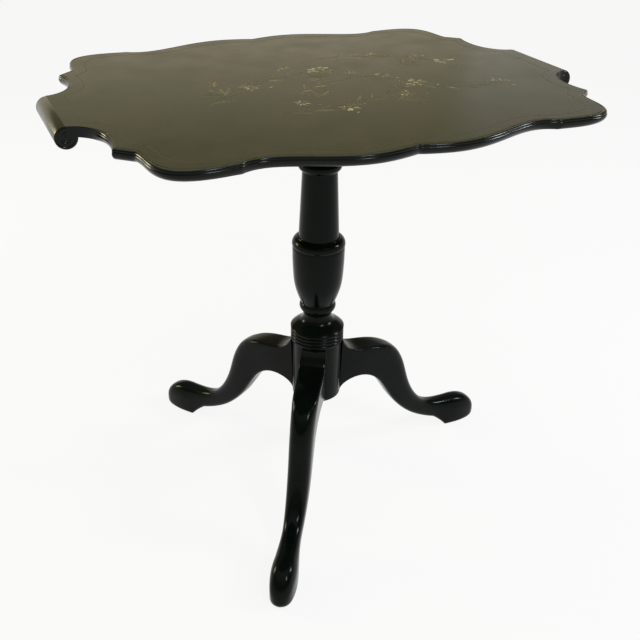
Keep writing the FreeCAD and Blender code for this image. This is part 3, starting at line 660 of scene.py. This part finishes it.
def bloom(x, y, radius, petals, tone):  # thin petals round a dotted heart, some short, dull or rubbed away
    heading = np.arange(petals) * 2 * np.pi / petals + chance.uniform(-petal["turn"], petal["turn"], petals)
    heading = heading[chance.random(petals) > petal["lost"]]
    count, dots = len(heading), heart["dots"]
    start = radius * chance.uniform(*petal["start"], count)
    fade = petal["fade"] if tone < petal["pinkFrom"] else petal["pinkFade"]
    length = radius * chance.uniform(*petal["length"], count)
    width = radius * chance.uniform(*petal["width"], count)
    around = [x + start * np.cos(heading), y + start * np.sin(heading), heading, length, width,
              tone - chance.uniform(0, fade, count)]
    spots = chance.uniform(-heart["spread"], heart["spread"], (2, dots)) * radius
    inside = [x + spots[0], y + spots[1], np.zeros(dots), np.full(dots, radius * heart["length"]),
              np.full(dots, radius * heart["width"]), chance.uniform(*heart["tone"], dots)]
    return np.concatenate([around, inside], axis=1).T


def curveAt(start, bend, end, t):  # a quadratic curve and its direction at each t
    p0, p1, p2 = (np.array(p, float)[:, None] for p in (start, bend, end))
    where = (1 - t) ** 2 * p0 + 2 * t * (1 - t) * p1 + t * t * p2
    along = 2 * (1 - t) * (p1 - p0) + 2 * t * (p2 - p1)
    return where, np.arctan2(along[1], along[0])


def blades(start, bend, end, count, length):  # thin leaves left and right along a curve, shorter to its tip
    t = np.linspace(*leaf["run"], count)
    where, heading = curveAt(start, bend, end, t)
    splay = np.where(np.arange(count) % 2, leaf["splay"], -leaf["splay"])
    heading += splay + chance.uniform(-leaf["sway"], leaf["sway"], count)
    size = length * chance.uniform(*leaf["size"], count) * (leaf["foot"] - leaf["taper"] * t)
    width = size * chance.uniform(*leaf["width"], count)
    return np.stack([*where, heading, size, width, chance.uniform(*leaf["tone"], count)], axis=1)


def stem(start, bend, end):  # a curve drawn as short overlapping strokes
    where, heading = curveAt(start, bend, end, np.linspace(0, 1, stroke["count"]))
    length = np.hypot(*np.diff(where, axis=1)) * stroke["overlap"]
    width, tone = np.linspace(*stroke["width"], len(length)), chance.uniform(*stroke["tone"], len(length))
    return np.stack([*where[:, :-1], heading[:-1], length, width, tone], axis=1)


def tuft(x, y, heading, spread, count, length):  # grass blades that fan out from one foot
    sway = chance.uniform(-grass["sway"], grass["sway"], count)
    fan = heading + np.linspace(-0.5, 0.5, count) * spread + sway
    size = length * chance.uniform(*grass["size"], count)
    tone = chance.uniform(*grass["tone"], count)
    return np.stack([np.full(count, x), np.full(count, y), fan, size, size * grass["width"], tone], axis=1)


def dashes(x, y, radius):  # short brush marks scattered round a bloom, thinning out with distance
    count = mark["count"]
    away = mark["reach"] * radius * chance.random(count)
    way = chance.uniform(0, 2 * np.pi, count)
    heading = chance.uniform(0, np.pi, count)
    length, width, tone = (chance.uniform(*mark[key], count) for key in ("length", "width", "tone"))
    return np.stack([x + away * np.cos(way), y + away * np.sin(way), heading, length, width, tone], axis=1)


sprays = [  # start, bend, end, leaves, leaf length
    ((-190, -60), (-120, 40), (10, 58), 17, 34),
    ((-120, -118), (10, -128), (118, -52), 16, 36),
    ((40, 122), (150, 130), (226, 50), 14, 32),
    ((120, -60), (190, -110), (246, -84), 10, 28),
    ((-60, -40), (10, 10), (96, 4), 12, 30),
]
tufts = [  # x, y, heading, spread, blades, length
    (-36, -66, 1.3, 1.7, 8, 54), (158, 46, 0.5, 1.5, 7, 48), (-150, -16, 2.2, 1.6, 7, 46),
    (60, -118, 0.2, 1.4, 7, 50), (18, 20, 2.7, 1.3, 6, 44),
]
blooms = [  # x, y, radius, petals, tone
    (26, 62, 24, 13, 0.68), (-20, 92, 15, 10, 0.62), (62, 36, 13, 9, 1.0), (126, -50, 24, 14, 0.68),
    (88, -92, 16, 10, 0.64), (-104, 14, 19, 11, 0.66), (-150, 44, 12, 8, 0.9), (232, 46, 20, 12, 0.66),
    (204, 92, 13, 9, 1.0), (-14, -122, 18, 11, 0.68), (250, -84, 16, 10, 0.64), (140, 122, 13, 9, 0.68),
    (100, 4, 17, 11, 0.66), (-66, -84, 12, 8, 0.72),
]
dabs = [blades(*spray) for spray in sprays] + [stem(*spray[:3]) for spray in sprays]
dabs += [tuft(*values) for values in tufts] + [bloom(*values) for values in blooms]
dabs += [dashes(*values[:3]) for values in blooms]
giltShell, giltTone = placed(np.concatenate(dabs))
giltPiece = finishPiece("gilt_flowers", meshOf(giltShell), [giltBright], "top", [])
toneValues = giltPiece.data.attributes.new("tone", "FLOAT", "POINT").data
toneValues.foreach_set("value", giltTone.astype(np.float32))


def giltLine():  # a flat ribbon that follows the rim: outer and inner edge, above and below the lacquer
    edge, _ = topEdge()
    outer, inner = drawnIn(edge, gilt["lineInset"]), drawnIn(edge, gilt["lineInset"] + gilt["lineWidth"])
    high = np.full(len(edge), top["level"] + gilt["rise"] / 2)
    low = np.full(len(edge), top["level"] - gilt["sink"])
    corners = ((outer, low), (outer, high), (inner, high), (inner, low))
    loops = np.array([np.column_stack([line, level]) for line, level in corners])
    index = np.arange(loops.shape[0] * loops.shape[1]).reshape(loops.shape[:2])
    right, down = np.roll(index, -1, axis=1), np.roll(index, -1, axis=0)
    faces = np.stack([index, right, np.roll(down, -1, axis=1), down], axis=-1).reshape(-1, 4)
    return loops.reshape(-1, 3), faces.tolist()


linePiece = finishPiece("gilt_border_line", meshOf(giltLine()), [giltFaint], "top", [])
linePiece.data.attributes.new("tone", "FLOAT", "POINT")  # left at 0, the dullest gold
print("gilding made")


# Hardware keeps its CAD shape and takes a finish

hardware = {
    battenWood: ["left_batten", "right_batten"],
    blockWood: ["tilt_block"],
    pintleWood: ["left_pintle", "right_pintle", "block_wedge"],
    screwSteel: ["batten_screws", "spider_screws", "catch_screws", "keeper_screws"],
    plateIron: ["spider_plate"],
    catchBrass: ["catch_base", "catch_staples", "catch_bolt", "catch_knob", "catch_keeper"],
}
hardwareEdge = {"weld": 0.005 * mm, "wood": 1.0 * mm, "metal": 0.35 * mm, "segments": 2, "corner": 50}
for material, names in hardware.items():
    for name in names:
        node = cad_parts[name]
        for slot in node.material_slots:
            slot.material = material
        node.modifiers.new("joined_faces", "WELD").merge_threshold = hardwareEdge["weld"]
        worn = node.modifiers.new("worn_edges", "BEVEL")
        worn.width = hardwareEdge["metal" if material in (screwSteel, plateIron, catchBrass) else "wood"]
        worn.segments = hardwareEdge["segments"]
        worn.angle_limit = np.radians(hardwareEdge["corner"])
        worn.use_clamp_overlap = True
print("hardware dressed")


# Floor, light and camera

stageLook = {
    "floor": "ebeae6", "floorHalf": 14.0, "floorGlow": 0.88,
    # surround by the sine of the height: pale horizon, a warm band, a dim wall above, a bright ceiling
    "surround": [(0.0, "ebe5d6"), (0.12, "ebe2cb"), (0.215, "fff4d4"), (0.33, "5a553d"), (0.47, "8c897c"),
                 (0.6, "7c7a70"), (1.0, "e4e6ea")],
    "dimSide": (0.43, 0.61), "dimRise": (0.14, 0.2), "dimming": 0.42,  # the wall to the right is darker
}


def makeFloor():  # mostly plain white to the camera and in reflections, with a faint shadow
    half = stageLook["floorHalf"]
    mesh = bpy.data.meshes.new("studio_floor")
    corners = [(-half, -half, 0), (half, -half, 0), (half, half, 0), (-half, half, 0)]
    mesh.from_pydata(corners, [], [(0, 1, 2, 3)])
    floor = bpy.data.objects.new("studio_floor", mesh)
    bpy.context.scene.collection.objects.link(floor)
    material, tree, shader, _ = startMaterial("studio_paper", Roughness=0.9, Specular_IOR_Level=0.1)
    shader.inputs["Base Color"].default_value = linear(stageLook["floor"])
    rays = addNode(tree, "ShaderNodeLightPath")
    seen = addNode(tree, "ShaderNodeMath", {"operation": "MAXIMUM"},
                   {0: rays.outputs["Is Camera Ray"], 1: rays.outputs["Is Glossy Ray"]})
    through = addNode(tree, "ShaderNodeMath", {"operation": "MAXIMUM"},
                      {0: seen.outputs["Value"], 1: rays.outputs["Is Transmission Ray"]})
    share = addNode(tree, "ShaderNodeMath", {"operation": "MULTIPLY", 1: stageLook["floorGlow"]},
                    {0: through.outputs["Value"]})
    glow = addNode(tree, "ShaderNodeEmission", {"Color": linear("ffffff"), "Strength": 1.0})
    paper = addNode(tree, "ShaderNodeMixShader", None,
                    {0: share.outputs["Value"], 1: shader.outputs["BSDF"], 2: glow.outputs["Emission"]})
    feed(tree, tree.nodes["Material Output"], {"Surface": paper.outputs["Shader"]})
    mesh.materials.append(material)


def makeSurround():  # colour from the height of each direction, dimmed to the right above the horizon
    world = bpy.data.worlds.new("studio_surround")
    world.use_nodes = True
    tree = world.node_tree
    direction = addNode(tree, "ShaderNodeTexCoord").outputs["Generated"]
    axes = addNode(tree, "ShaderNodeSeparateXYZ", None, {"Vector": direction})
    ramp = addNode(tree, "ShaderNodeValToRGB", {"stops": stageLook["surround"]}, {"Fac": axes.outputs["Z"]})
    toRight, above = (addNode(tree, "ShaderNodeMapRange", {"From Min": low, "From Max": high},
                              {"Value": axes.outputs[axis]})
                      for axis, (low, high) in (("X", stageLook["dimSide"]), ("Z", stageLook["dimRise"])))
    both = addNode(tree, "ShaderNodeMath", {"operation": "MULTIPLY"},
                   {0: toRight.outputs["Result"], 1: above.outputs["Result"]})
    dim = addNode(tree, "ShaderNodeMapRange", {"To Min": 1.0, "To Max": 1 - stageLook["dimming"]},
                  {"Value": both.outputs["Value"]})
    feed(tree, tree.nodes["Background"], {"Color": ramp.outputs["Color"], "Strength": dim.outputs["Result"]})
    bpy.context.scene.world = world


lamps = {  # compass angle from +X and height in degrees, distance and size in metres, power in watts, colour
    "window_right": (-20, 29, 2.4, (0.31, 0.56), 22, "e6efff"),
    "window_front": (-76, 46, 2.3, (0.3, 0.5), 13, "f2f6ff"),
    "window_left": (137, 14, 2.4, (0.5, 0.7), 20, "f8eec0"),
    "window_back": (42, 13, 3.0, (1.0, 1.4), 0.9, "dfe8ff"),
    "ceiling": (60, 82, 2.2, (1.6, 1.6), 1.5, "ffffff"),
}
lampAim = np.array([0, 0, 0.45])


def makeLamps():  # each stands off the aim point by its distance and looks back at it
    for name, (compass, rise, distance, size, power, colour) in lamps.items():
        light = bpy.data.lights.new(name, "AREA")
        light.shape = "RECTANGLE"
        light.size, light.size_y = size
        light.energy = power
        light.color = linear(colour)[:3]
        c, e = np.radians([compass, rise])
        back = np.array([np.cos(c) * np.cos(e), np.sin(c) * np.cos(e), np.sin(e)])
        right = np.array([-np.sin(c), np.cos(c), 0])
        lamp = bpy.data.objects.new(name, light)
        axes = np.column_stack([right, np.cross(back, right), back, lampAim + back * distance])
        lamp.matrix_world = Matrix(np.vstack([axes, (0, 0, 0, 1)]).tolist())
        bpy.context.scene.collection.objects.link(lamp)


cameraView = {"place": (-531.4 * mm, -1158.6 * mm, 1050.4 * mm), "azimuth": -25.06, "elevation": 30.46,
              "roll": 1.26, "focalPixels": 884.9, "framePixels": 640, "centrePixels": (322.9, 320.8),
              "sensor": 36.0}


def makeCamera():  # the view's right, up and back axes from azimuth, elevation and roll
    a, e, roll = np.radians([cameraView["azimuth"], cameraView["elevation"], cameraView["roll"]])
    back = np.array([np.sin(a) * np.cos(e), -np.cos(a) * np.cos(e), np.sin(e)])
    level = np.array([np.cos(a), np.sin(a), 0])
    upright = np.cross(back, level)
    right = np.cos(roll) * level + np.sin(roll) * upright
    axes = np.column_stack([right, np.cross(back, right), back, cameraView["place"]])
    data = bpy.data.cameras.new("photo_view")
    data.sensor_width = cameraView["sensor"]
    data.lens = cameraView["focalPixels"] / cameraView["framePixels"] * cameraView["sensor"]
    shift = 0.5 - np.array(cameraView["centrePixels"]) / cameraView["framePixels"]
    data.shift_x, data.shift_y = shift * (1, -1)
    camera = bpy.data.objects.new("photo_view", data)
    camera.matrix_world = Matrix(np.vstack([axes, (0, 0, 0, 1)]).tolist())
    bpy.context.scene.collection.objects.link(camera)
    bpy.context.scene.camera = camera


makeFloor()
makeSurround()
makeLamps()
makeCamera()
bpy.context.scene.view_settings.view_transform = "Standard"
print("stage, lamps and camera set")
